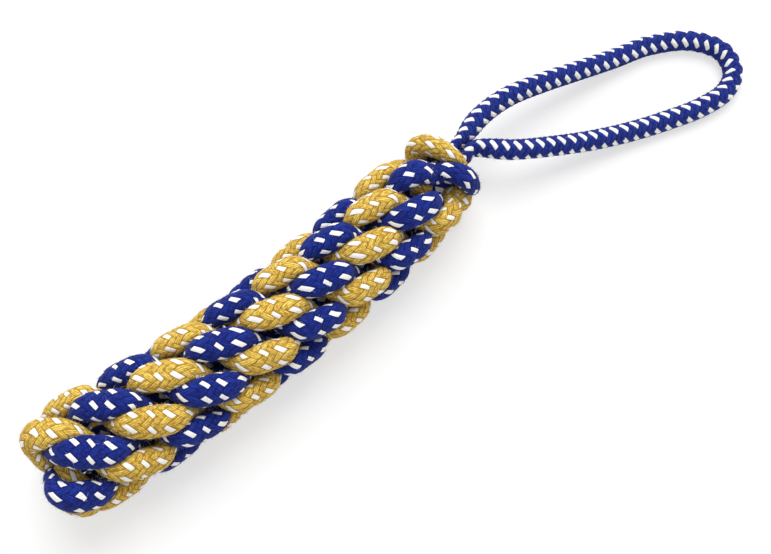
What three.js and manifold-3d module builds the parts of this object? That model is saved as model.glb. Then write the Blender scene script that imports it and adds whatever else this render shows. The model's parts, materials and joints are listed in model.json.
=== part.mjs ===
// Rope dog toy: a stick of eight soft braided cords, four blue and four yellow, crowned round one
// another about a core, and a loop handle of a thinner blue cord whose two legs are that core.
// Millimetres, +Z up. The stick lies along X with its handle at +X, and rests on Z = 0.
import * as THREE from 'three';
import { mergeVertices } from 'three/addons/utils/BufferGeometryUtils.js';
import Module from 'manifold-3d';

// Driving dimensions
const CORD = 12.5; // a body cord before it is drawn tight
const HANDLE_CORD = 9.3;
const GAP = 0.3; // between pieces that touch
const ROUNDS = 8; // bights of each cord, besides the one that closes an end
const TURN = 7.5; // degrees by which a column of bights drifts for each pitch
const FIRST_ANGLE = 95; // degrees about X, from +Y, of the bight at the stick's middle
const TAPER = 0.06; // the near end is thicker than the middle by this share, the far end thinner
const BOW = 9; // the stick's bend in the plane of the table
const STRANDS_A_SET = 4;
const CORD_SIDES = 8;
const STEPS_A_BIGHT = 10;
const HANDLE_SIDES = 10;

// The loop handle's route as it lies, from its left leg round to its right leg: how far past the neck,
// how far to the left of it, and how high the cord's underside is off the table
const LOOP_ROUTE = [
  [18, 7.3, 15.5],
  [34, 7.3, 14],
  [52, 4, 10],
  [71, -1, 6],
  [90, -6, 2],
  [108, -11, 0],
  [125, -22, 0],
  [132, -35, 0],
  [128, -46, 0],
  [118, -50.5, 0],
  [104, -49, 0],
  [87, -43.5, 0],
  [71, -37.5, 1],
  [54, -30.5, 4],
  [38, -23, 8],
  [20, -13.5, 13],
];

// Derived sizes of the stick, all in proportion to its cord
const PITCH = 1.92 * CORD;
const BIGHT = { width: CORD, thickness: 0.72 * CORD };
const LINK = { width: 0.48 * CORD, thickness: 0.36 * CORD };
const STICK_RADIUS = 1.8 * CORD;
const CORE_RADIUS = 0.58 * CORD;
const FLAT = CORD / 10; // how far the cords the stick lies on are pressed flat
const HANDLE_FLAT = HANDLE_CORD / 10;
const TUCKED = 0.02; // how much of a bight is left off a cord that ends beneath another
const TIP_SQUEEZE = 0.8; // how far an end bight has narrowed from bight to link at its tip
const DOME_REACH = 0.6 * CORD; // how far a near end bight goes past its crest as it turns in
const DOME_SWIRL = 0.35; // radians that it turns about the end meanwhile
const DOME_HOLE = 0.34 * CORD; // how near to the middle its tip comes
const ARCH_REACH = 1.5 * CORD; // the same for the arches round the handle at the far end
const ARCH_SWIRL = 1.9;
const ARCH_HOLE = 0.8 * CORD;
const ARCH_LEAD = 0.25; // the part of an arch's swirl that is even, while the rest gathers to its tip
const ARCH_DIP = 0.55 * CORD; // how far an arch first dips beneath the one before it
const ARCH_DIP_SHARE = 0.6; // and over how much of its way
const ARCH_DIP_SQUEEZE = 0.6;
const HALF_RUN = (ROUNDS / 2) * PITCH;
const HALF_LENGTH = HALF_RUN + DOME_REACH + BIGHT.thickness / 2;
const CORE_LEG = { width: CORE_RADIUS - GAP, thickness: 1.42 * CORE_RADIUS };
const NECK = { width: 0.64 * HANDLE_CORD, thickness: 1.1 * HANDLE_CORD }; // a leg squeezed by the arches
const NECK_EASE = 1.5 * HANDLE_CORD; // how far past the neck the cord is round again
const LEG_SPACING = NECK.width + GAP;
const NECK_RUN = HALF_LENGTH + 0.31 * CORD; // where the loop bends as it leaves the stick
const QUARTER_TURN = Math.PI / 2;
const STRAND_TURN = QUARTER_TURN + THREE.MathUtils.degToRad(TURN);

// How a cord leaves an even helix as it goes over and under
const SURGE = 0.103 * CORD; // along the stick
const SWAY = 0.286; // radians about it
const SWAY_DOUBLE = 0.074;
const SWAY_TRIPLE = 0.016;
const MEAN_RADIUS = 1.24 * CORD;
const RISE = 0.28 * CORD;
const CREST_FLATTENING = 0.103 * CORD;

const BLUE = { color: 0x26389a, roughness: 0.92 };
const YELLOW = { color: 0xc99a1c, roughness: 0.92 };
const HANDLE_BLUE = { color: 0x22348c, roughness: 0.92 };

const wasm = await Module();
wasm.setup();

function toSolid(geometry) {
  const bare = geometry.clone();
  for (const name of ['normal', 'uv']) {
    bare.deleteAttribute(name);
  }
  const merged = mergeVertices(bare, 1e-4);
  const vertProperties = new Float32Array(merged.attributes.position.array);
  const triVerts = new Uint32Array(merged.index.array);
  return new wasm.Manifold(new wasm.Mesh({ numProp: 3, vertProperties, triVerts }));
}

function toGeometry(solid) {
  const { vertProperties, triVerts } = solid.getMesh();
  const geometry = new THREE.BufferGeometry();
  geometry.setAttribute('position', new THREE.BufferAttribute(vertProperties, 3));
  geometry.setIndex(new THREE.BufferAttribute(triVerts, 1));
  geometry.computeVertexNormals();
  return geometry;
}

function addMesh(group, name, geometry, look) {
  const material = new THREE.MeshStandardMaterial({ ...look, metalness: 0 });
  const mesh = new THREE.Mesh(geometry, material);
  mesh.name = name;
  group.add(mesh);
}

// A closed tube through rings, each with a centre, two half axes and a number of corners
function sweep(rings, sides) {
  const corners = [];
  for (const { centre, across, up } of rings) {
    for (let i = 0; i < sides; i += 1) {
      const angle = (2 * Math.PI * (i + 0.5)) / sides;
      const corner = centre.clone();
      corner.addScaledVector(across, Math.cos(angle));
      corner.addScaledVector(up, Math.sin(angle));
      corners.push(corner);
    }
  }
  const first = corners.push(rings[0].centre) - 1;
  const last = corners.push(rings.at(-1).centre) - 1;
  const faces = [];
  for (let i = 0; i < sides; i += 1) {
    const next = (i + 1) % sides;
    for (let ring = 0; ring < rings.length - 1; ring += 1) {
      const here = ring * sides;
      const ahead = here + sides;
      faces.push(here + i, here + next, ahead + next);
      faces.push(here + i, ahead + next, ahead + i);
    }
    const end = (rings.length - 1) * sides;
    faces.push(first, next, i);
    faces.push(last, end + i, end + next);
  }
  const geometry = new THREE.BufferGeometry().setFromPoints(corners);
  geometry.setIndex(faces);
  return geometry;
}

// The stick's own form: a point at a run along it, an angle about it and a distance from its middle line
function thickening(run) {
  return 1 - (TAPER * run) / HALF_LENGTH;
}

function stickFrame(run) {
  const x = run - (TAPER * run * run) / (2 * HALF_LENGTH);
  const bend = (2 * BOW * x) / HALF_LENGTH ** 2;
  const y = BOW * ((x / HALF_LENGTH) ** 2 - 0.5);
  const z = thickening(run) * STICK_RADIUS - FLAT;
  const along = new THREE.Vector3(Math.cos(bend), Math.sin(bend), 0);
  const side = new THREE.Vector3(-Math.sin(bend), Math.cos(bend), 0);
  return { middle: new THREE.Vector3(x, y, z), along, side };
}

function outward(angle, frame) {
  const direction = frame.side.clone().multiplyScalar(Math.cos(angle));
  direction.z += Math.sin(angle);
  return direction;
}

// One cord's middle line. At whole values of bight it crests outside its neighbours, and half way
// between them it crosses beneath the next cord's crest.
function weave(bight) {
  const wave = 2 * Math.PI * bight;
  const sway = SWAY * Math.sin(wave) - SWAY_DOUBLE * Math.sin(2 * wave) + SWAY_TRIPLE * Math.sin(3 * wave);
  return {
    run: PITCH * bight + SURGE * Math.sin(wave),
    angle: STRAND_TURN * bight - sway,
    radius: MEAN_RADIUS + RISE * Math.cos(wave) - CREST_FLATTENING * Math.cos(2 * wave),
    squeeze: 0.5 - 0.5 * Math.cos(wave),
  };
}

function strandRing(run, angle, radius, squeeze, tilt) {
  const frame = stickFrame(run);
  const grow = thickening(run);
  const out = outward(angle, frame);
  const centre = frame.middle.clone().addScaledVector(out, radius * grow);
  const normal = out.clone().multiplyScalar(Math.cos(tilt)).addScaledVector(frame.along, Math.sin(tilt));
  const width = THREE.MathUtils.lerp(BIGHT.width, LINK.width, squeeze) * grow;
  const thickness = THREE.MathUtils.lerp(BIGHT.thickness, LINK.thickness, squeeze) * grow;
  return { centre, normal, width, thickness };
}

// Before its first crest a cord of one set comes out of the middle of the near end and folds over it
function domeRings({ run, angle, radius }) {
  const rings = [];
  const steps = STEPS_A_BIGHT / 2;
  for (let i = steps; i > 0; i -= 1) {
    const tilt = (QUARTER_TURN * i) / steps;
    const back = run - DOME_REACH * Math.sin(tilt);
    const inward = DOME_HOLE + (radius - DOME_HOLE) * Math.cos(tilt);
    const swirl = DOME_SWIRL * Math.sin(tilt);
    rings.push(strandRing(back, angle - swirl, inward, (TIP_SQUEEZE * i) / steps, -tilt));
  }
  return rings;
}

// Past its last crest a cord of the other set dips, arches round the handle and goes in beside it
function archRings({ run, angle, radius }) {
  const rings = [];
  for (let i = 1; i <= STEPS_A_BIGHT; i += 1) {
    const share = i / STEPS_A_BIGHT;
    const reach = ARCH_REACH * Math.sin(QUARTER_TURN * share);
    const swirl = ARCH_SWIRL * THREE.MathUtils.lerp(share ** 2, share, ARCH_LEAD);
    const dip = Math.sin(Math.PI * Math.min(1, share / ARCH_DIP_SHARE)) ** 2;
    const inward = THREE.MathUtils.lerp(radius, ARCH_HOLE, share ** 3) - ARCH_DIP * dip;
    const squeeze = TIP_SQUEEZE * share ** 2 + ARCH_DIP_SQUEEZE * dip;
    rings.push(strandRing(run + reach, angle + swirl, inward, squeeze, QUARTER_TURN * share));
  }
  return rings;
}

function strandRings(set, index) {
  const phase = set / 2;
  const spin = THREE.MathUtils.degToRad(FIRST_ANGLE) + index * QUARTER_TURN + phase * STRAND_TURN;
  const place = (bight) => {
    const { run, angle, radius, squeeze } = weave(bight);
    return { run: run + phase * PITCH, angle: angle + spin, radius, squeeze };
  };
  const first = set === 0 ? -ROUNDS / 2 : -ROUNDS / 2 - phase + TUCKED;
  const last = set === 0 ? (ROUNDS - 1) / 2 - TUCKED : ROUNDS / 2 - 1;
  const count = Math.round((last - first) * STEPS_A_BIGHT);
  const rings = [];
  for (let i = 0; i <= count; i += 1) {
    const { run, angle, radius, squeeze } = place(THREE.MathUtils.lerp(first, last, i / count));
    rings.push(strandRing(run, angle, radius, squeeze, 0));
  }
  return set === 0 ? [...domeRings(place(first)), ...rings] : [...rings, ...archRings(place(last))];
}

// Squares each ring to the line of the cord
function square(rings) {
  return rings.map(({ centre, normal, width, thickness }, i) => {
    const before = rings[Math.max(i - 1, 0)].centre;
    const after = rings[Math.min(i + 1, rings.length - 1)].centre;
    const along = after.clone().sub(before).normalize();
    const up = normal.clone().addScaledVector(along, -normal.dot(along)).normalize();
    const across = up.clone().cross(along);
    return { centre, across: across.multiplyScalar(width / 2), up: up.multiplyScalar(thickness / 2) };
  });
}

const toy = new THREE.Group();

// The table presses the lowest bights flat
const slab = new THREE.BoxGeometry(6 * HALF_LENGTH, 8 * STICK_RADIUS, 2 * STICK_RADIUS);
slab.translate(0, 0, -STICK_RADIUS);
const table = toSolid(slab);

const counts = { blue: 0, yellow: 0 };
for (const set of [0, 1]) {
  for (let index = 0; index < STRANDS_A_SET; index += 1) {
    const blue = (set + index) % 2 === 1;
    const tint = blue ? 'blue' : 'yellow';
    counts[tint] += 1;
    const cord = toSolid(sweep(square(strandRings(set, index)), CORD_SIDES));
    addMesh(toy, `${tint}_cord_${counts[tint]}`, toGeometry(cord.subtract(table)), blue ? BLUE : YELLOW);
  }
}

// The handle cord's two legs lie side by side in the middle of the stick, pressed oval by the bights,
// and come out round through the hole in its far end
const CORE_STEPS = 18;
function coreRings(sign) {
  const start = -(HALF_RUN + DOME_REACH / 2);
  const end = NECK_RUN - NECK.thickness / 2 - GAP;
  const rings = [];
  for (let i = 0; i <= CORE_STEPS; i += 1) {
    const run = THREE.MathUtils.lerp(start, end, i / CORE_STEPS);
    const free = THREE.MathUtils.smoothstep(run, HALF_RUN - PITCH / 2, end);
    const frame = stickFrame(run);
    const grow = thickening(run);
    const aside = THREE.MathUtils.lerp((grow * CORE_RADIUS) / 2, LEG_SPACING / 2, free);
    rings.push({
      centre: frame.middle.clone().addScaledVector(frame.side, sign * aside),
      normal: new THREE.Vector3(0, 0, 1),
      width: THREE.MathUtils.lerp(grow * CORE_LEG.width, NECK.width, free),
      thickness: THREE.MathUtils.lerp(grow * CORE_LEG.thickness, NECK.thickness, free),
    });
  }
  return rings;
}

for (const [side, sign] of [['left', 1], ['right', -1]]) {
  addMesh(toy, `handle_leg_${side}`, sweep(square(coreRings(sign)), HANDLE_SIDES), HANDLE_BLUE);
}

const stickBox = new THREE.Box3().setFromObject(toy);

// The loop itself, which swings about the neck on its two rounded ends
const LOOP_STEPS = 44;
const ROUND_STEPS = 3;
function loopRings() {
  const neck = stickFrame(NECK_RUN);
  const leg = (sign) => neck.middle.clone().addScaledVector(neck.side, (sign * LEG_SPACING) / 2);
  const lift = HANDLE_CORD / 2 - HANDLE_FLAT;
  const lying = LOOP_ROUTE.map(
    ([past, left, under]) => new THREE.Vector3(neck.middle.x + past, neck.middle.y + left, under + lift),
  );
  const out = (sign) => leg(sign).addScaledVector(neck.along, HANDLE_CORD / 2);
  const route = [leg(1), out(1), ...lying, out(-1), leg(-1)];
  const curve = new THREE.CatmullRomCurve3(route, false, 'centripetal');
  const normal = new THREE.Vector3(0, 0, 1);
  const rings = curve.getSpacedPoints(LOOP_STEPS).map((centre) => {
    const past = centre.clone().sub(neck.middle).dot(neck.along);
    const free = THREE.MathUtils.smoothstep(past, 0, NECK_EASE);
    const width = THREE.MathUtils.lerp(NECK.width, HANDLE_CORD, free);
    const thickness = THREE.MathUtils.lerp(NECK.thickness, HANDLE_CORD, free);
    return { centre, normal, width, thickness };
  });
  for (let i = 1; i < ROUND_STEPS; i += 1) {
    const angle = (QUARTER_TURN * i) / ROUND_STEPS;
    const width = NECK.width * Math.cos(angle);
    const thickness = NECK.thickness * Math.cos(angle);
    const back = (NECK.thickness / 2) * -Math.sin(angle);
    rings.unshift({ centre: leg(1).addScaledVector(neck.along, back), normal, width, thickness });
    rings.push({ centre: leg(-1).addScaledVector(neck.along, back), normal, width, thickness });
  }
  return rings;
}

const loop = toSolid(sweep(square(loopRings()), HANDLE_SIDES));
addMesh(toy, 'handle_loop', toGeometry(loop.subtract(table)), HANDLE_BLUE);

// The origin is the middle of the stick's underside
const middle = stickBox.getCenter(new THREE.Vector3());
for (const { geometry } of toy.children) {
  geometry.translate(-middle.x, -middle.y, 0);
}

export default toy;
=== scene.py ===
import json
import math

import bpy
import numpy as np
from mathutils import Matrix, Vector


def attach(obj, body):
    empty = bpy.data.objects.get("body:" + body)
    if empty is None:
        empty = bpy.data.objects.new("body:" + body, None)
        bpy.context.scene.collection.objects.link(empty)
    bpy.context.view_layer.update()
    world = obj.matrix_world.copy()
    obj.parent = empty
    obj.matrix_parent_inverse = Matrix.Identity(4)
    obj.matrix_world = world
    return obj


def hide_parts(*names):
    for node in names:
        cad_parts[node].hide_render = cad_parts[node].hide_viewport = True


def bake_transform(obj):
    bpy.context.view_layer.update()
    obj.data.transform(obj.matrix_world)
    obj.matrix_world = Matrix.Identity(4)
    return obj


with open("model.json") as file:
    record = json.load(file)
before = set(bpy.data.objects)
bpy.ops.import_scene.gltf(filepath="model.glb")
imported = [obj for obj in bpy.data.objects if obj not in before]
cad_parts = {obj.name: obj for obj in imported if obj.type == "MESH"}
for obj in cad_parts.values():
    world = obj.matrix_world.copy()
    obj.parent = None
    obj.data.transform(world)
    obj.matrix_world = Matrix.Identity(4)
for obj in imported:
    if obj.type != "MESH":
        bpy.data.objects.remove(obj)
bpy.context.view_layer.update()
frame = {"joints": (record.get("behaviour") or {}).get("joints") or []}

# The crowned cords. Four blue and four yellow cords of soft braided cotton are crowned round a core, each
# over the next and then beneath the crest of the one after, and drawn tight into a thick round stick. At
# both ends four of them fold in over the end. The stick lies on the table, a little bowed.
CORD = 0.0125
ROUNDS = 8
PITCH = 1.92 * CORD
STICK_RADIUS = 1.8 * CORD
FLAT = CORD / 10
TAPER = 0.06
FLARE = 0.05
BOW = 0.009
END_REACH = 0.96 * CORD
NECK_REACH = 0.31 * CORD
HALF_RUN = ROUNDS / 2 * PITCH
HALF_LENGTH = HALF_RUN + END_REACH
NECK_RUN = HALF_LENGTH + NECK_REACH
neck = np.array(frame["joints"][0]["pos_m"])


def thickening(run):
    """The near end is thicker than the middle, and the far end thinner."""
    return 1 - TAPER * run / HALF_LENGTH + FLARE * np.clip(-run / HALF_LENGTH, 0, 1) ** 2


def bowed(run):
    """How far along and aside the stick's middle line is, and its direction there."""
    x = run - TAPER * run**2 / (2 * HALF_LENGTH)
    return x, BOW * (x / HALF_LENGTH) ** 2, 2 * BOW * x / HALF_LENGTH**2


def stick_frame(run):
    """The stick's middle line at each run, with the directions along it and to its left."""
    run = np.atleast_1d(np.asarray(run, float))
    neck_x, neck_y, _ = bowed(NECK_RUN)
    x, y, bend = bowed(run)
    level = thickening(run) * STICK_RADIUS - FLAT
    middle = np.stack([neck[0] + x - neck_x, neck[1] + y - neck_y, level], axis=1)
    along = np.stack([np.cos(bend), np.sin(bend), 0 * bend], axis=1)
    side = np.stack([-np.sin(bend), np.cos(bend), 0 * bend], axis=1)
    return middle, along, side


# How a cord goes round the stick: its columns of bights drift by TURN for each pitch
TURN = math.radians(7.5)
FIRST_ANGLE = math.radians(95)
QUARTER = math.pi / 2
STRAND_TURN = QUARTER + TURN
SURGE = 0.16 * CORD
SWAY, SWAY_DOUBLE, SWAY_TRIPLE = 0.286, 0.074, 0.016
MEAN_RADIUS, RISE, CREST_FLATTENING = 1.24 * CORD, 0.28 * CORD, 0.103 * CORD
BIGHT_WIDTH, BIGHT_THICKNESS = 0.98 * CORD, 0.8 * CORD
LINK_WIDTH, LINK_THICKNESS = 0.75 * CORD, 0.55 * CORD
WEAVE_STEPS = 1600

# The crowns are drawn less tight towards the near end: they lean more, and spread out beneath the stick
SLACK_EASE, LEAN, UNWOUND, SLACK_BRAID = 2.3, 0.65, 0.1, 1.8
SPREAD, SPREAD_AT_MIDDLE = 0.5, 0.4


def weave(bight, phase):
    """One cord's way round the stick: it crests at whole values of bight and ducks under at halves."""
    wave = 2 * math.pi * bight
    slack = np.clip(0.5 - (bight + phase) / ROUNDS, 0, 1) ** SLACK_EASE
    sway = SWAY * np.sin(wave) - SWAY_DOUBLE * np.sin(2 * wave) + SWAY_TRIPLE * np.sin(3 * wave)
    run = PITCH * bight + SURGE * np.sin(wave)
    angle = STRAND_TURN * bight - sway * (1 - LEAN * slack) - UNWOUND * slack
    radius = MEAN_RADIUS + RISE * np.cos(wave) - CREST_FLATTENING * np.cos(2 * wave)
    return run, angle, radius, 0.5 - 0.5 * np.cos(wave)


TIP_DEPTH, TIP_STEPS = 0.25 * CORD, 30


def with_tip(way, sign):
    """An end bight, with its tip bent down from the end of the stick into its middle."""
    run, angle, radius, squeeze, tilt = (values[-1] for values in way)
    down = np.linspace(0, QUARTER, TIP_STEPS)[1:]
    tip = (
        run - sign * TIP_DEPTH * (1 - np.cos(down)),
        angle + 0 * down,
        radius - TIP_DEPTH * np.sin(down),
        squeeze + (1 - squeeze) * down / QUARTER,
        tilt + sign * down,
    )
    return [np.r_[values, more] for values, more in zip(way, tip)]


DOME_FOLD, DOME_SWIRL, DOME_HOLE = 0.42 * CORD, 0.2, 0.34 * CORD
DOME_BEND_SHARE, DOME_SQUEEZE, DOME_STEPS = 0.55, 0.8, 90


def dome(run, angle, radius):
    """A near end bight, which bends round the end of the stick and then lies over it to its middle."""
    share = np.linspace(0, 1, DOME_STEPS)[1:]
    tilt = QUARTER * np.minimum(1, share / DOME_BEND_SHARE)
    lying = np.clip((share - DOME_BEND_SHARE) / (1 - DOME_BEND_SHARE), 0, 1)
    way = (
        run - DOME_FOLD * np.sin(tilt),
        angle - DOME_SWIRL * np.sin(tilt),
        radius - DOME_FOLD * (1 - np.cos(tilt)) - (radius - DOME_FOLD - DOME_HOLE) * lying,
        DOME_SQUEEZE * share,
        -tilt,
    )
    return with_tip(way, -1)


ARCH_REACH, ARCH_SWIRL, ARCH_HOLE = 1.5 * CORD, 2.35, 0.85 * CORD
ARCH_DIP, ARCH_DIP_SHARE, ARCH_DIP_SQUEEZE = 0.55 * CORD, 0.6, 0.5
ARCH_LEAD, ARCH_SQUEEZE, ARCH_STEPS = 0.25, 0.7, 120


def arch(run, angle, radius):
    """A far end bight, which dips past its crest, arches round the handle and goes in beside it."""
    share = np.linspace(0, 1, ARCH_STEPS)[1:]
    dip = np.sin(math.pi * np.minimum(1, share / ARCH_DIP_SHARE)) ** 2
    way = (
        run + ARCH_REACH * np.sin(QUARTER * share),
        angle + ARCH_SWIRL * (ARCH_LEAD * share + (1 - ARCH_LEAD) * share**2),
        radius + (ARCH_HOLE - radius) * share**3 - ARCH_DIP * dip,
        ARCH_SQUEEZE * share**4 + ARCH_DIP_SQUEEZE * dip,
        QUARTER * share,
    )
    return with_tip(way, 1)


TUCKED = 0.02
TUCK_RUN, TUCK_TURN, TUCK_DEPTH, TUCK_STEPS = 0.12 * CORD, 0.6, 0.45 * CORD, 40


def tuck(run, angle, radius, sign):
    """The hidden end of a cord, which goes on beneath its neighbours to the core."""
    share = np.linspace(0, 1, TUCK_STEPS)[1:]
    return (
        run + sign * TUCK_RUN * share,
        angle + sign * TUCK_TURN * share,
        radius - TUCK_DEPTH * share**2,
        1 + 0 * share,
        0 * share,
    )


def cord_way(group, index):
    """Run, angle, radius, squeeze and tilt all the way along one cord. The first group closes the near
    end with its domes, and the second the far end with its arches."""
    phase = group / 2
    first = -ROUNDS / 2 - phase + TUCKED if group else -ROUNDS / 2
    last = ROUNDS / 2 - 1 if group else (ROUNDS - 1) / 2 - TUCKED
    run, angle, radius, squeeze = weave(np.linspace(first, last, WEAVE_STEPS), phase)
    way = [run + phase * PITCH, angle + phase * STRAND_TURN, radius, squeeze, 0 * run]
    near = [values[0] for values in way[:3]]
    far = [values[-1] for values in way[:3]]
    near_end = tuck(*near, -1) if group else dome(*near)
    far_end = arch(*far) if group else tuck(*far, 1)
    run, angle, *rest = (np.r_[before[::-1], w, after] for before, w, after in zip(near_end, way, far_end))
    angle = angle + FIRST_ANGLE + index * QUARTER
    loose = np.clip(SPREAD_AT_MIDDLE - (1 - SPREAD_AT_MIDDLE) * run / HALF_LENGTH, 0, 1)
    angle = angle - SPREAD * loose * np.clip(-np.sin(angle), 0, 1) ** 2
    return [run, angle, *rest]


def unit(vectors):
    """The same directions, each with a length of 1."""
    return vectors / np.linalg.norm(vectors, axis=-1, keepdims=True)


def cord_rings(centre, normal, half_width, half_thickness, step, closeness=1):
    """A cord's rings at even steps: place in its braid, centre, direction, and half axes across and up."""
    length = np.r_[0, np.cumsum(np.linalg.norm(np.diff(centre, axis=0), axis=1))]
    places = np.linspace(0, length[-1], max(2, round(length[-1] / step)))
    braided = np.cumsum(np.gradient(length) * closeness)
    centre, normal = (
        np.stack([np.interp(places, length, values[:, axis]) for axis in range(3)], axis=1)
        for values in (centre, normal)
    )
    along = unit(np.gradient(centre, axis=0))
    up = unit(normal - along * np.sum(normal * along, axis=1, keepdims=True))
    return {
        "place": np.interp(places, length, braided),
        "centre": centre,
        "along": along,
        "across": np.cross(up, along) * np.interp(places, length, half_width)[:, None],
        "up": up * np.interp(places, length, half_thickness)[:, None],
    }


def crowned_cord(group, index, step):
    """The rings of one cord of the stick, narrower in its links than in its bights."""
    run, angle, radius, squeeze, tilt = cord_way(group, index)
    middle, along, side = stick_frame(run)
    grow = thickening(run)
    out = side * np.cos(angle)[:, None] + np.array([0, 0, 1]) * np.sin(angle)[:, None]
    centre = middle + out * (radius * grow)[:, None]
    normal = out * np.cos(tilt)[:, None] + along * np.sin(tilt)[:, None]
    half_width = (BIGHT_WIDTH + (LINK_WIDTH - BIGHT_WIDTH) * squeeze) * grow / 2
    half_thickness = (BIGHT_THICKNESS + (LINK_THICKNESS - BIGHT_THICKNESS) * squeeze) * grow / 2
    closeness = np.maximum(grow, 1) ** SLACK_BRAID
    return cord_rings(centre, normal, half_width, half_thickness, step, closeness)


def round_rings(rings, count):
    """Points round each ring, evenly by angle, as offsets from the ring's centre."""
    angle = np.linspace(0, 2 * math.pi, count, endpoint=False)[None, :, None]
    return rings["across"][:, None] * np.cos(angle) + rings["up"][:, None] * np.sin(angle)


# Where two cords press on each other, each gives way to the same share of its own thickness
PRESS_STEP = 0.0012
PRESS_POINTS = 40
PRESS_REACH = 1.7 * CORD
PRESS_SLICE = 3 * PRESS_STEP
PRESS_HALVINGS = 7
PRESS_GAP, PRESS_LEAST = 0.02, 0.1
PRESS_SMOOTHINGS = 2
RING_KEYS = ("centre", "along", "across", "up")


def depth_in(points, others):
    """How deep points lie in the cords around them: 0 on a cord's middle line, 1 on its surface."""
    offset = points[:, None] - others["centre"][None]
    across = np.sum(offset * others["across"][None], axis=2) / others["wide"]
    up = np.sum(offset * others["up"][None], axis=2) / others["thick"]
    along = np.sum(offset * others["along"][None], axis=2) / PRESS_SLICE
    return np.sqrt((across**2 + up**2 + along**2).min(axis=1))


def share_left(centre, offsets, others):
    """How much of one ring is left at each angle, found by halving."""
    low, high = np.zeros(PRESS_POINTS), np.ones(PRESS_POINTS)
    free = depth_in(centre + offsets, others) > 1
    for _ in range(PRESS_HALVINGS):
        middle = (low + high) / 2
        inside = depth_in(centre + offsets * middle[:, None], others) < middle
        low, high = np.where(inside, low, middle), np.where(inside, middle, high)
    return np.where(free, 1, np.maximum(low - PRESS_GAP, PRESS_LEAST))


def press(cords):
    """For each cord, the share of its section left at each ring and angle once all press on one another."""
    shares = []
    for own, rings in enumerate(cords):
        neighbours = [other for number, other in enumerate(cords) if number != own]
        rest = {key: np.concatenate([other[key] for other in neighbours]) for key in RING_KEYS}
        rest["wide"] = np.sum(rest["across"] ** 2, axis=1)
        rest["thick"] = np.sum(rest["up"] ** 2, axis=1)
        offsets = round_rings(rings, PRESS_POINTS)
        share = np.ones(offsets.shape[:2])
        for ring, centre in enumerate(rings["centre"]):
            near = np.linalg.norm(rest["centre"] - centre, axis=1) < PRESS_REACH
            if near.any():
                others = {key: values[near] for key, values in rest.items()}
                share[ring] = share_left(centre, offsets[ring], others)
        for _ in range(PRESS_SMOOTHINGS):
            share = (np.roll(share, 1, axis=1) + 2 * share + np.roll(share, -1, axis=1)) / 4
            share[1:-1] = (share[:-2] + 2 * share[1:-1] + share[2:]) / 4
        shares.append(share)
    return shares


def pressed(rings, share, count):
    """Points round each ring, as offsets drawn in to the share of the section that is left."""
    offsets = round_rings(rings, count)
    if share is None:
        return offsets
    ring_places, share_places = np.linspace(0, 1, len(offsets)), np.linspace(0, 1, len(share))
    at_rings = np.stack([np.interp(ring_places, share_places, column) for column in share.T], axis=1)
    turns = np.linspace(0, 1, count, endpoint=False)
    share_turns = np.linspace(0, 1, share.shape[1], endpoint=False)
    return offsets * np.stack([np.interp(turns, share_turns, row, period=1) for row in at_rings])[:, :, None]


# The braid: as many yarns of one hand as of the other, each over two and under two. They lie closer
# together on the inner side of a bend, and a yarn's back is lower at its ends than in its middle.
CROWDING = 0.14
YARN_END_HEIGHT = 0.25


def braid_places(rings, offsets, yarns, yarn_step, twist):
    """How many yarns lie along the cord and round it up to each point, with each ring's first point again
    at its end. twist is how many yarns the braid has turned at the cord's start and end."""
    closed = np.concatenate([offsets, offsets[:, :1]], axis=1)
    girth = np.cumsum(np.linalg.norm(np.diff(closed, axis=1), axis=2), axis=1)
    turned = np.concatenate([np.zeros((len(girth), 1)), girth / girth[:, -1:]], axis=1)
    turned -= turned[:, offsets.shape[1] // 4, None]
    around = yarns * (turned - CROWDING * np.sin(2 * math.pi * turned) / (2 * math.pi))
    around += np.linspace(*twist, len(girth))[:, None]
    along = np.repeat(rings["place"][:, None] / yarn_step, closed.shape[1], axis=1)
    return along, around


def braid_height(first, second):
    """The braid's height, from 0 in its crevices to 1 on the top of a yarn. first and second count the
    yarns of the two hands across a point."""
    order = (np.floor(first) + np.floor(second)) % 4
    own = np.where(order < 2, first, second) % 1
    other = np.where(order < 2, second, first) % 1
    lengthwise = (order % 2 + other) / 2
    back = YARN_END_HEIGHT + (1 - YARN_END_HEIGHT) * np.sin(math.pi * lengthwise)
    return np.sqrt(np.clip(np.sin(math.pi * own) * back, 0, 1))


# Short fibres stand off the cotton, each a thin closed spike with three corners at its foot
FIBRE_WIDTH = 0.00008
FIBRE_LENGTHS = (0.0008, 0.0026)
FIBRE_LIFTS = (0.1, 0.9)
SPIKE_FACES = np.array([0, 1, 3, 1, 2, 3, 2, 0, 3, 2, 1, 0])


def stray_fibres(rings, points, offsets, braid_map, number):
    """The corners of each fibre's spike, and its place in the braid. None goes below the table."""
    pick = np.random.default_rng(number)
    ring = pick.integers(len(points), size=number)
    turn = pick.integers(points.shape[1], size=number)
    root, out, along = points[ring, turn], unit(offsets[ring, turn]), rings["along"][ring]
    heading = pick.uniform(0, 2 * math.pi, (number, 1))
    lying = along * np.cos(heading) + np.cross(out, along) * np.sin(heading)
    lean = unit(lying + out * pick.uniform(*FIBRE_LIFTS, (number, 1)))
    side = unit(np.cross(lean, out))
    foot = [
        root + FIBRE_WIDTH / 2 * (side * math.cos(angle) + np.cross(lean, side) * math.sin(angle))
        for angle in (0, 2 * math.pi / 3, 4 * math.pi / 3)
    ]
    tip = root + lean * pick.uniform(*FIBRE_LENGTHS, (number, 1))
    corners = np.stack([*foot, tip], axis=1)
    above_table = corners[:, :, 2].min(axis=1) > 0
    return corners[above_table], braid_map[ring, turn][above_table]


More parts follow.
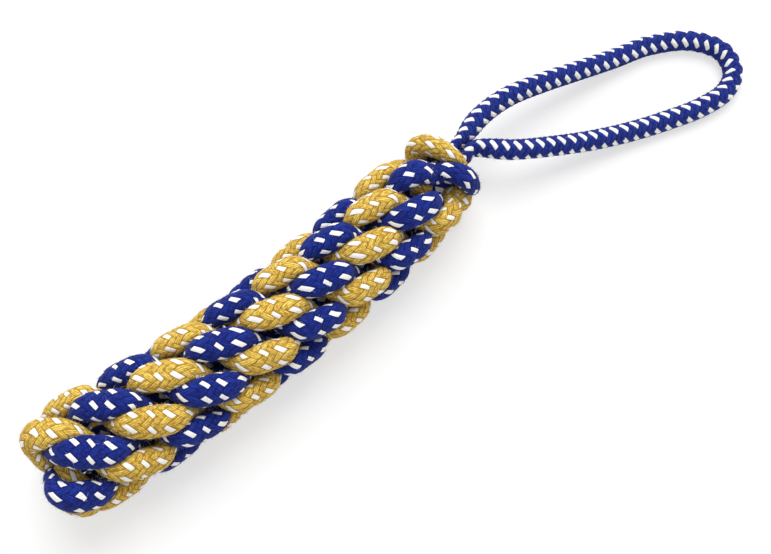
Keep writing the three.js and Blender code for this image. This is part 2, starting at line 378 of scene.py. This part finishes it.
def new_piece(name, vertices, quads, triangles, braid_map):
    """A smooth object from its points, its faces and the place in the braid of each face's corners."""
    corners = np.concatenate([quads.ravel(), triangles.ravel()])
    sizes = np.r_[np.full(len(quads), 4), np.full(len(triangles), 3)]
    mesh = bpy.data.meshes.new(name)
    mesh.vertices.add(len(vertices))
    mesh.vertices.foreach_set("co", vertices.astype(np.float32).ravel())
    mesh.loops.add(len(corners))
    mesh.loops.foreach_set("vertex_index", corners.astype(np.int32))
    mesh.polygons.add(len(sizes))
    mesh.polygons.foreach_set("loop_start", (np.cumsum(sizes) - sizes).astype(np.int32))
    mesh.polygons.foreach_set("loop_total", sizes.astype(np.int32))
    mesh.polygons.foreach_set("use_smooth", np.ones(len(sizes), bool))
    mesh.uv_layers.new(name="braid").data.foreach_set("uv", braid_map.astype(np.float32).ravel())
    mesh.update()
    mesh.validate()
    piece = bpy.data.objects.new(name, mesh)
    bpy.context.scene.collection.objects.link(piece)
    return piece


def braided_cord(name, rings, share, count, yarns, yarn_step, relief, fibres, twist=(0, 0)):
    """A closed cord with its yarns raised, capped at both ends, and its stray fibres. Its map holds its
    places in the braid."""
    offsets = pressed(rings, share, count)
    along, around = braid_places(rings, offsets, yarns, yarn_step, twist)
    height = braid_height(around - along, around + along)[:, :-1]
    plump = np.minimum(1, np.linalg.norm(offsets, axis=2) * 2 * math.pi / (yarns * yarn_step))
    points = rings["centre"][:, None] + offsets - unit(offsets) * (relief * plump * (1 - height))[:, :, None]
    points[:, :, 2] = np.maximum(points[:, :, 2], 0)
    fuzz, fuzz_map = stray_fibres(rings, points, offsets, np.stack([along, around], axis=2), fibres)

    total = len(points)
    start = np.arange(total - 1)[:, None] * count
    here = np.arange(count)
    after = (here + 1) % count
    quads = [start + here, start + after, start + count + after, start + count + here]
    quads = np.stack(quads, axis=2).reshape(-1, 4)
    corner = np.stack([here, here + 1, here + 1, here], axis=1)[None]
    ring = np.arange(total - 1)[:, None, None] + np.array([0, 0, 1, 1])
    quad_map = np.stack([along[ring, corner], around[ring, corner]], axis=3).reshape(-1, 2)

    first_middle = total * count
    last = first_middle - count
    start_cap = np.stack([np.full(count, first_middle), after, here], axis=1)
    end_cap = np.stack([np.full(count, first_middle + 1), last + here, last + after], axis=1)
    caps = np.concatenate([start_cap, end_cap])
    spikes = first_middle + 2 + 4 * np.arange(len(fuzz))[:, None] + SPIKE_FACES
    triangles = np.concatenate([caps, spikes.reshape(-1, 3)])
    spike_map = np.repeat(fuzz_map, len(SPIKE_FACES), axis=0)
    braid_map = np.concatenate([quad_map, np.zeros((caps.size, 2)), spike_map])
    vertices = np.concatenate([points.reshape(-1, 3), rings["centre"][[0, -1]], fuzz.reshape(-1, 3)])
    return new_piece(name, vertices, quads, triangles, braid_map)


class Shade:
    """A value in a material: its sums and products add Math nodes, and node adds any other."""

    def __init__(self, tree, socket=None):
        self.tree = tree
        self.socket = socket

    def node(self, kind, settings=None, sockets=None, out=0):
        made = self.tree.nodes.new("ShaderNode" + kind)
        for name, value in (settings or {}).items():
            setattr(made, name, value)
        for key, value in (sockets or {}).items():
            if isinstance(value, Shade):
                self.tree.links.new(value.socket, made.inputs[key])
            else:
                made.inputs[key].default_value = value
        return Shade(self.tree, made.outputs[out] if made.outputs else None)

    def math(self, operation, *others):
        return self.node("Math", {"operation": operation}, dict(enumerate((self, *others))))

    def __add__(self, other):
        return self.math("ADD", other)

    def __sub__(self, other):
        return self.math("SUBTRACT", other)

    def __rsub__(self, other):
        return self.node("Math", {"operation": "SUBTRACT"}, {0: other, 1: self})

    def __mul__(self, other):
        return self.math("MULTIPLY", other)

    def __truediv__(self, other):
        return self.math("DIVIDE", other)

    def __mod__(self, other):
        return self.math("FLOORED_MODULO", other)

    def __lt__(self, other):
        return self.math("LESS_THAN", other)

    __radd__ = __add__
    __rmul__ = __mul__


def mixed(share, low, high):
    """A colour between two, by a share from 0 to 1."""
    return share.node("Mix", {"data_type": "RGBA"}, {0: share, 6: low, 7: high}, out=2)


UNDYED = (0.93, 0.925, 0.9, 1)
THREADS_A_YARN, THREAD_WANDER = 3, 1.6
FIBRES_ACROSS, FIBRES_LENGTHWISE = 4, 1.6
FIBRE_CONTRAST, YARN_CONTRAST, SHADED = 4, 0.4, 1.65
# How the painted shade in the braid's crevices fades out towards the top of a yarn, sooner on undyed yarns
DYED_SHADE_FADE, UNDYED_SHADE_FADE, SHADE_FADE_SOFTNESS = 1.4, 1.8, 0.2
# How dark the painted shade is in the grooves between threads, on dyed and on undyed yarns
DYED_THREAD_SHADE, UNDYED_THREAD_SHADE = 0.72, 0.12
YARN_BUMP, THREAD_BUMP, FIBRE_BUMP = 0.3, 0.35, 0.35
ROUGHNESS, FIBRE_ROUGHNESS = 0.82, 0.16
NAP = {"Sheen Weight": 0.06, "Sheen Roughness": 0.5, "Specular IOR Level": 0.12}

# How far apart in the noise the two hands of yarns lie, so that their fibres and tones differ
HAND_FIBRES_APART, HAND_TONES_APART = 7, 31


def cotton(name, yarn, shaded_yarn, painted_crevice_shade, fleck_share):
    """Braided cotton: every second yarn of one hand is undyed, and shows as a fleck where it goes over.
    fleck_share is how much of such a yarn its neighbours leave in sight."""
    material = bpy.data.materials.new(name)
    material.use_nodes = True
    material.node_tree.nodes.clear()
    start = Shade(material.node_tree)
    braid = start.node("UVMap", {"uv_map": "braid"})
    along = start.node("SeparateXYZ", None, {0: braid}, out=0)
    around = start.node("SeparateXYZ", None, {0: braid}, out=1)
    first = around - along
    second = around + along
    order = (first.math("FLOOR") + second.math("FLOOR")) % 4
    on_top = order < 2
    own = on_top * first + (1 - on_top) * second
    other = on_top * second + (1 - on_top) * first
    across = own % 1
    lengthwise = (order % 2 + other % 1) / 2
    back = YARN_END_HEIGHT + (1 - YARN_END_HEIGHT) * (lengthwise * math.pi).math("SINE")
    height = ((across * math.pi).math("SINE") * back).math("POWER", 0.5)
    shown_along = (lengthwise - 0.5).math("ABSOLUTE") < fleck_share / 2
    shown_across = (across - 0.5).math("ABSOLUTE") < fleck_share / 2
    undyed = on_top * (first % 2 < 1) * shown_along * shown_across

    grain = {0: own * FIBRES_ACROSS, 1: other * FIBRES_LENGTHWISE, 2: on_top * HAND_FIBRES_APART}
    noise = {"Vector": start.node("CombineXYZ", None, grain), "Scale": 1.0, "Detail": 3.0, "Roughness": 0.6}
    fibres = start.node("TexNoise", None, noise)
    each_yarn = start.node("CombineXYZ", None, {0: own.math("FLOOR"), 1: on_top * HAND_TONES_APART})
    yarn_tone = start.node("TexWhiteNoise", {"noise_dimensions": "2D"}, {"Vector": each_yarn})
    lightness = fibres * FIBRE_CONTRAST + yarn_tone * YARN_CONTRAST - SHADED
    tone = lightness.node("Clamp", None, {0: lightness})
    thread = (across * THREADS_A_YARN + fibres * THREAD_WANDER).math("PINGPONG", 0.5) * 2
    # Painted shade: the colour darkens towards the crevice colour down in the braid's crevices, where shade
    # falls
    out_of_painted_shade = (height * (DYED_SHADE_FADE + (UNDYED_SHADE_FADE - DYED_SHADE_FADE) * undyed)).math("SMOOTH_MIN", 1, SHADE_FADE_SOFTNESS)
    # Painted shade in the grooves between the threads of each yarn, weaker on the undyed yarns
    painted_thread_shade = (DYED_THREAD_SHADE - (DYED_THREAD_SHADE - UNDYED_THREAD_SHADE) * undyed) * (1 - thread) * (1 - thread)
    surface = mixed(undyed, mixed(tone, shaded_yarn, yarn), UNDYED)
    # The surface colour, darkened with painted shade in the crevices and in the grooves between threads
    coloured = mixed(out_of_painted_shade * (1 - painted_thread_shade), painted_crevice_shade, surface)

    relief = height * YARN_BUMP + thread * THREAD_BUMP + fibres * FIBRE_BUMP
    bump = start.node("Bump", None, {"Strength": 0.5, "Distance": 0.0004, "Height": relief})
    roughness = ROUGHNESS + FIBRE_ROUGHNESS * fibres
    sockets = {"Base Color": coloured, "Roughness": roughness, "Normal": bump, **NAP}
    cloth = start.node("BsdfPrincipled", None, sockets)
    start.node("OutputMaterial", None, {0: cloth})
    return material


YARN_ANGLE = math.radians(43)
YARNS = 12
YARN_RELIEF = 0.0003
RING_STEP = 0.00045
RING_POINTS = 88
FIBRES = 7000
FLECK_SHARE = 0.79
yarn_step = math.pi * CORD / math.tan(YARN_ANGLE) / YARNS
BLUE_YARN = (0.016, 0.042, 0.36, 1)
BLUE_SHADED = (0.006, 0.013, 0.14, 1)
# Painted shade, laid in the crevices of the blue braid
BLUE_CREVICE_SHADE = (0.003, 0.005, 0.05, 1)
YELLOW_YARN = (1.0, 0.75, 0.16, 1)
YELLOW_SHADED = (0.55, 0.3, 0.03, 1)
# Painted shade, laid in the crevices of the yellow braid
YELLOW_CREVICE_SHADE = (0.18, 0.07, 0.008, 1)
dyed_cotton = {
    "blue": cotton("blue_cotton", BLUE_YARN, BLUE_SHADED, BLUE_CREVICE_SHADE, FLECK_SHARE),
    "yellow": cotton("yellow_cotton", YELLOW_YARN, YELLOW_SHADED, YELLOW_CREVICE_SHADE, FLECK_SHARE),
}

cords = [(group, index) for group in range(2) for index in range(4)]
shares = press([crowned_cord(group, index, PRESS_STEP) for group, index in cords])
made = {"blue": 0, "yellow": 0}
for (group, index), share in zip(cords, shares):
    dye = "blue" if (group + index) % 2 else "yellow"
    made[dye] += 1
    node = f"{dye}_cord_{made[dye]}"
    rings = crowned_cord(group, index, RING_STEP)
    cord = braided_cord(f"braided_{node}", rings, share, RING_POINTS, YARNS, yarn_step, YARN_RELIEF, FIBRES)
    cord.data.materials.append(dyed_cotton[dye])
    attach(cord, "stick")
    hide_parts(node)

# The handle. One thinner blue cotton cord, braided from fewer yarns, whose two legs run through the middle
# of the stick as its core and are held there by the crowns. It comes out at the far end, where the arches
# squeeze it, sags to the table and lies there in a loop.
MM = 0.001
HANDLE_CORD = 9.3 * MM
LOOP_ROUTE = [
    (18, 7.3, 15.5),
    (34, 7.3, 14),
    (52, 4, 10),
    (71, -1, 6),
    (90, -6, 2),
    (108, -11, 0),
    (125, -22, 0),
    (132, -35, 0),
    (128, -46, 0),
    (118, -50.5, 0),
    (104, -49, 0),
    (87, -43.5, 0),
    (71, -37.5, 1),
    (54, -30.5, 4),
    (38, -23, 8),
    (20, -13.5, 13),
]
NECK_WIDTH, NECK_THICKNESS = 0.64 * HANDLE_CORD, 1.1 * HANDLE_CORD
NECK_EASE = 1.5 * HANDLE_CORD
LEG_GAP = 0.3 * MM
LEG_SPACING = NECK_WIDTH + LEG_GAP
LEG_INSIDE = 14 * MM
HANDLE_FLAT = HANDLE_CORD / 10
STEPS_A_POINT = 12


def through(points, steps):
    """A smooth line through points, drawn the same way as a centripetal spline."""
    points = np.concatenate([[2 * points[0] - points[1]], points, [2 * points[-1] - points[-2]]])
    line = []
    for p in (points[i : i + 4] for i in range(len(points) - 3)):
        knot = np.r_[0, np.cumsum(np.sqrt(np.linalg.norm(np.diff(p, axis=0), axis=1)))]
        at = np.linspace(knot[1], knot[2], steps, endpoint=False)[:, None]

        def between(a, b, i, j):
            return ((knot[j] - at) * a + (at - knot[i]) * b) / (knot[j] - knot[i])

        pairs = [between(p[i], p[i + 1], i, i + 1) for i in range(3)]
        pairs = [between(pairs[i], pairs[i + 1], i, i + 2) for i in range(2)]
        line.append(between(*pairs, 1, 2))
    return np.concatenate([*line, points[-2:-1]])


def leg_point(run, sign):
    """A point on the middle line of one leg, inside the stick or just past it."""
    middle, _, side = stick_frame(run)
    return (middle + sign * side * LEG_SPACING / 2)[0]


def upright(line):
    """Straight up, once for each point of a line."""
    return np.tile([0.0, 0, 1], (len(line), 1))


beneath_neck = neck * [1, 1, 0] + [0, 0, HANDLE_CORD / 2 - HANDLE_FLAT]
lying = [beneath_neck + np.array(point) * MM for point in LOOP_ROUTE]
leg_runs = [NECK_RUN - LEG_INSIDE, NECK_RUN - LEG_INSIDE / 2, NECK_RUN, NECK_RUN + HANDLE_CORD / 2]
left_leg = [leg_point(run, 1) for run in leg_runs]
right_leg = [leg_point(run, -1) for run in leg_runs[::-1]]
handle_line = through(np.array(left_leg + lying + right_leg), STEPS_A_POINT)
neck_along = stick_frame(NECK_RUN)[1][0]
freed = np.clip((handle_line - neck) @ neck_along / NECK_EASE, 0, 1)
freed = freed**2 * (3 - 2 * freed)
half_width = (NECK_WIDTH + (HANDLE_CORD - NECK_WIDTH) * freed) / 2
half_thickness = (NECK_THICKNESS + (HANDLE_CORD - NECK_THICKNESS) * freed) / 2
handle_rings = cord_rings(handle_line, upright(handle_line), half_width, half_thickness, RING_STEP)

HANDLE_YARN_ANGLE = math.radians(54)
HANDLE_YARNS = 8
HANDLE_RELIEF = 0.0005
HANDLE_TWIST = (1.2, 2.85)
HANDLE_POINTS = 64
HANDLE_FIBRES = 2000
HANDLE_YARN = (0.023, 0.05, 0.36, 1)
HANDLE_SHADED = (0.009, 0.019, 0.19, 1)
HANDLE_FLECK_SHARE = 1
handle_yarn_step = math.pi * HANDLE_CORD / math.tan(HANDLE_YARN_ANGLE) / HANDLE_YARNS
handle_braid = (HANDLE_YARNS, handle_yarn_step, HANDLE_RELIEF)
handle = braided_cord(
    "handle_cord", handle_rings, None, HANDLE_POINTS, *handle_braid, HANDLE_FIBRES, HANDLE_TWIST
)
# The handle's crevices take the same painted shade as the blue cords
handle_cotton = cotton("handle_cotton", HANDLE_YARN, HANDLE_SHADED, BLUE_CREVICE_SHADE, HANDLE_FLECK_SHARE)
handle.data.materials.append(handle_cotton)

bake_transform(handle)
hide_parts("handle_loop")

# The core. The rest of the handle cord's two legs, of the same blue cotton, side by side along the middle
# of the stick. The crowns are drawn tight round them, so they are squeezed flat against each other.
CORE_HALF_WIDTH, CORE_HALF_THICKNESS = 0.27 * CORD, 0.4 * CORD
CORE_POINTS, CORE_STEPS = 40, 60
core_runs = np.linspace(-HALF_RUN, NECK_RUN - LEG_INSIDE, CORE_STEPS)
freed = np.clip((core_runs - HALF_RUN + PITCH) / PITCH, 0, 1)
apart = CORE_HALF_WIDTH + (LEG_SPACING / 2 - CORE_HALF_WIDTH) * freed
half_width = CORE_HALF_WIDTH + (HANDLE_CORD / 2 - CORE_HALF_WIDTH) * freed
half_thickness = CORE_HALF_THICKNESS + (HANDLE_CORD / 2 - CORE_HALF_THICKNESS) * freed
middle, _, side = stick_frame(core_runs)
for leg, sign in (("left", 1), ("right", -1)):
    line = middle + sign * side * apart[:, None]
    rings = cord_rings(line, upright(line), half_width, half_thickness, 2 * RING_STEP)
    core = braided_cord(f"core_{leg}", rings, None, CORE_POINTS, *handle_braid, 0)
    core.data.materials.append(handle_cotton)
    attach(core, "stick")
    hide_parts(f"handle_leg_{leg}")

# The table. A plain white studio table of matt board in a pale room, with one large soft light above the
# far side of the toy. It shows as partly lit from below, so that it is white round a soft shadow.
TABLE_REACH = 3.0
TABLE_WHITE = (0.9, 0.9, 0.9, 1)
LIT_FROM_BELOW = 0.6
WHITE = (1, 1, 1, 1)
table_corners = [(x * TABLE_REACH, y * TABLE_REACH, 0) for x, y in ((-1, -1), (1, -1), (1, 1), (-1, 1))]
table_mesh = bpy.data.meshes.new("table")
table_mesh.from_pydata(table_corners, [], [(0, 1, 2, 3)])
table = bpy.data.objects.new("table", table_mesh)
bpy.context.scene.collection.objects.link(table)
table_paint = bpy.data.materials.new("white_table")
table_paint.use_nodes = True
table_paint.node_tree.nodes.clear()
paint = Shade(table_paint.node_tree)
board = paint.node("BsdfDiffuse", None, {"Color": TABLE_WHITE})
glow = paint.node("Emission", None, {"Color": WHITE, "Strength": 1.0})
lit = LIT_FROM_BELOW * paint.node("LightPath", out="Is Camera Ray")
paint.node("OutputMaterial", None, {0: paint.node("MixShader", None, {0: lit, 1: board, 2: glow})})
table_mesh.materials.append(table_paint)

ROOM_LIGHT = 0.6
room = bpy.data.worlds.new("pale_room")
room.use_nodes = True
bpy.context.scene.world = room
room.node_tree.nodes.clear()
sky = Shade(room.node_tree)
seen = sky.node("LightPath", out="Is Camera Ray")
for ray in ("Is Glossy Ray", "Is Transmission Ray"):
    seen = seen.math("MAXIMUM", sky.node("LightPath", out=ray))
pale = sky.node("Background", None, {"Color": WHITE, "Strength": ROOM_LIGHT + (1 - ROOM_LIGHT) * seen})
sky.node("OutputWorld", None, {0: pale})

LAMP_STRENGTH, LAMP_SPREAD = 2.7, math.radians(45)
LAMP_SHINES = Vector((-0.5, -0.45, -1))
lamp = bpy.data.lights.new("key", "SUN")
lamp.energy = LAMP_STRENGTH
lamp.angle = LAMP_SPREAD
key = bpy.data.objects.new("key", lamp)
key.rotation_euler = LAMP_SHINES.to_track_quat("-Z", "Y").to_euler()
bpy.context.scene.collection.objects.link(key)

# The camera. It looks down on the toy over its near end, from the side and height that the photograph was
# taken from, and with the same width of view.
CAMERA_AT = Vector((-0.039, -0.1229, 0.4471))
LOOKS_AT = Vector((0.05, -0.0172, 0.02))
FOCAL_PIXELS, IMAGE_WIDTH = 1078, 771
SENSOR_WIDTH = 36
camera_data = bpy.data.cameras.new("camera")
camera_data.sensor_width = SENSOR_WIDTH
camera_data.lens = SENSOR_WIDTH * FOCAL_PIXELS / IMAGE_WIDTH
camera = bpy.data.objects.new("camera", camera_data)
camera.location = CAMERA_AT
camera.rotation_euler = (LOOKS_AT - CAMERA_AT).to_track_quat("-Z", "Y").to_euler()
bpy.context.scene.collection.objects.link(camera)
bpy.context.scene.camera = camera
bpy.context.scene.view_settings.view_transform = "Standard"

bpy.context.view_layer.update()
